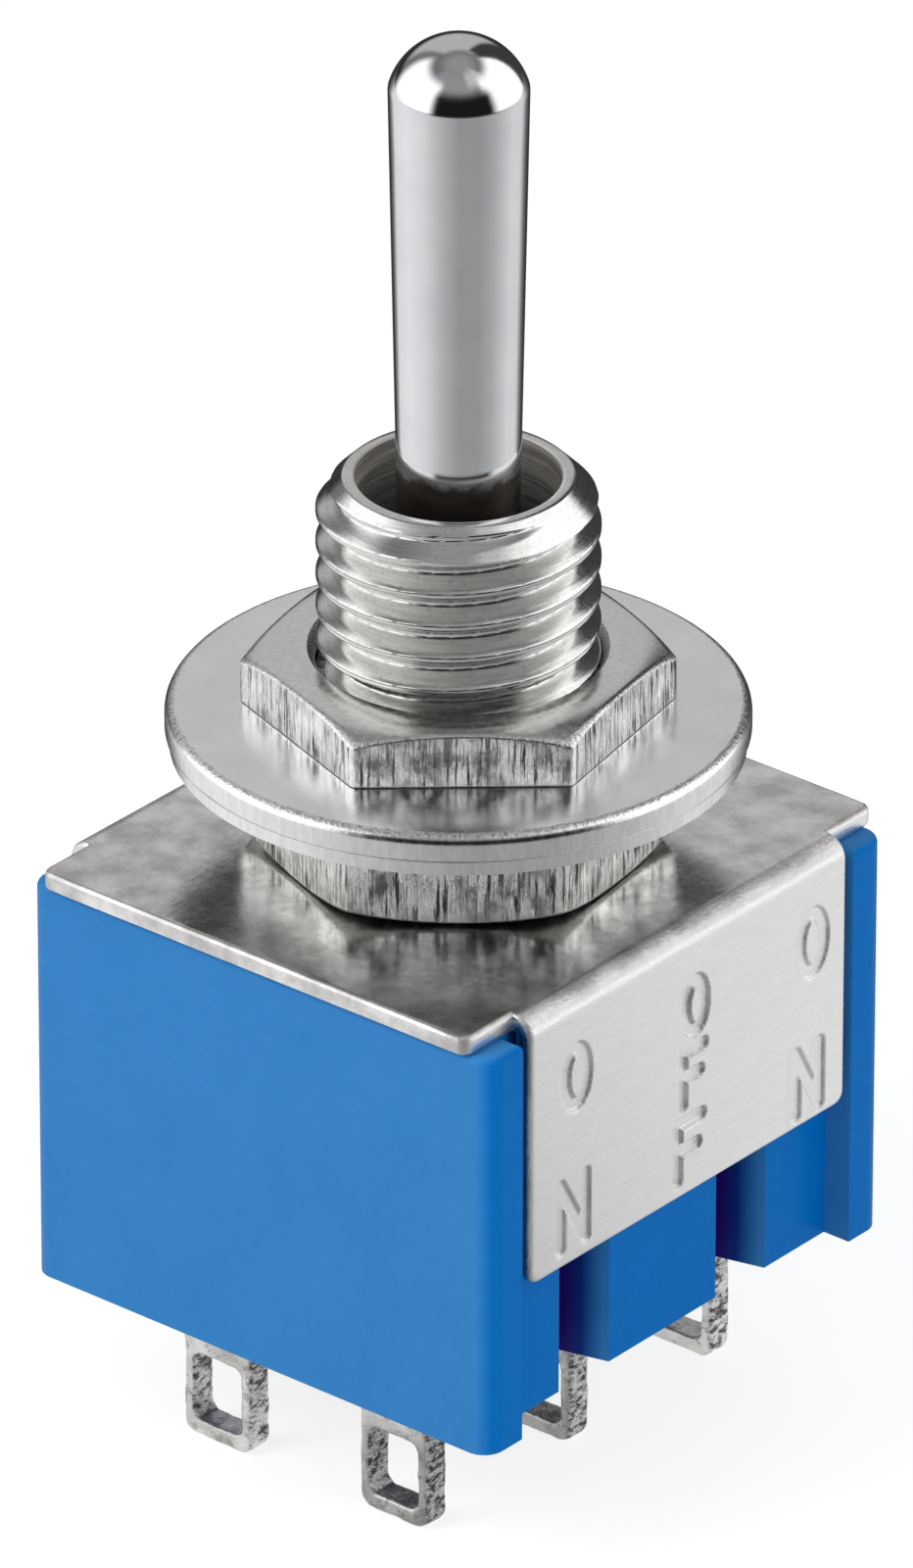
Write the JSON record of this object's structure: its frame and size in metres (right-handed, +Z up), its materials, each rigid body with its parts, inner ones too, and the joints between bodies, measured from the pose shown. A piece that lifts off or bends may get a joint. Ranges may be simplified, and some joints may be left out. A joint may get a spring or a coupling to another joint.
{
  "type": "panel toggle switch",
  "caption": "Miniature panel toggle switch with a chrome bat lever, threaded bushing, hex nuts and washers, steel frame, blue case and solder lugs.",
  "frame": {"origin": "on the bushing's axis, level with the tips of the solder lugs", "axes": "+Z up along the lever and bushing; the lever swings along Y; the frame's two folded flaps face +X and -X"},
  "size_m": [0.0126, 0.0136, 0.0322],
  "materials": {
    "chrome_lever": "polished",
    "nickel_bushing": "polished",
    "nickel_hardware": "satin",
    "frame_steel": "satin",
    "blue_case": "gloss",
    "tinned_lug": "satin",
    "seal_resin": "matte",
    "insulator_board": "matte",
    "driver_nylon": "matte",
    "spring_steel": "satin",
    "contact_brass": "satin",
    "contact_silver": "satin"
  },
  "bodies": {
    "case": {"housing": "blue_case", "frame": "frame_steel", "bushing": "nickel_bushing", "lower_nut": "nickel_hardware", "terminal_seal": "seal_resin", "insulator_plate": "insulator_board", "fixed_contact_1": "contact_silver", "fixed_contact_3": "contact_silver", "fixed_contact_4": "contact_silver", "fixed_contact_6": "contact_silver", "terminal_1": "tinned_lug", "terminal_2": "tinned_lug", "terminal_3": "tinned_lug", "terminal_4": "tinned_lug", "terminal_5": "tinned_lug", "terminal_6": "tinned_lug"},
    "lever": {"toggle_lever": "chrome_lever", "pivot_pin": "spring_steel"},
    "driver": {"driver": "driver_nylon", "spring_left": "spring_steel", "spring_right": "spring_steel"},
    "plunger_left": {"plunger_left": "contact_brass"},
    "plunger_right": {"plunger_right": "contact_brass"},
    "rocker_left": {"rocker_left": "contact_brass", "rocker_tips_left": "contact_silver"},
    "rocker_right": {"rocker_right": "contact_brass", "rocker_tips_right": "contact_silver"},
    "washers": {"flat_washer": "nickel_hardware", "lock_washer": "nickel_hardware"},
    "upper_nut": {"upper_nut": "nickel_hardware"}
  },
  "joints": [
    {"name": "toggle", "type": "hinge", "parent": "case", "child": "lever", "pos_m": [0, 0, 0.01854], "axis": [1, 0, 0], "range_deg": [-12.5, 12.5]},
    {"name": "driver_slide", "type": "slide", "parent": "case", "child": "driver", "axis": [0, 1, 0], "range_m": [-0.0015, 0.0015]},
    {"name": "plunger_left_press", "type": "slide", "parent": "driver", "child": "plunger_left", "axis": [0, 0, 1], "range_m": [0, 0.0005], "stiffness_N_per_m": 500, "springref_m": -0.0008, "deforming": ["spring_left"]},
    {"name": "plunger_right_press", "type": "slide", "parent": "driver", "child": "plunger_right", "axis": [0, 0, 1], "range_m": [0, 0.0005], "stiffness_N_per_m": 500, "springref_m": -0.0008, "deforming": ["spring_right"]},
    {"name": "rocker_left_tilt", "type": "hinge", "parent": "case", "child": "rocker_left", "pos_m": [-0.00245, 0, 0.0072], "axis": [1, 0, 0], "range_deg": [-8.02, 8.02]},
    {"name": "rocker_right_tilt", "type": "hinge", "parent": "case", "child": "rocker_right", "pos_m": [0.00245, 0, 0.0072], "axis": [1, 0, 0], "range_deg": [-8.02, 8.02]},
    {"name": "washer_slide", "type": "slide", "parent": "case", "child": "washers", "axis": [0, 0, 1], "range_m": [0, 0.0033]},
    {"name": "nut_spin", "type": "hinge", "parent": "washers", "child": "upper_nut", "pos_m": [0, 0, 0.01676], "axis": [0, 0, 1], "range_deg": [0, 1584.01]}
  ],
  "couplings": [
    {"joint": "driver_slide", "follows": "toggle", "m_per_rad": 0.0068352},
    {"joint": "rocker_left_tilt", "follows": "toggle", "ratio": -0.64},
    {"joint": "rocker_right_tilt", "follows": "toggle", "ratio": -0.64},
    {"joint": "nut_spin", "follows": "washer_slide", "rad_per_m": 8377.6}
  ]
}
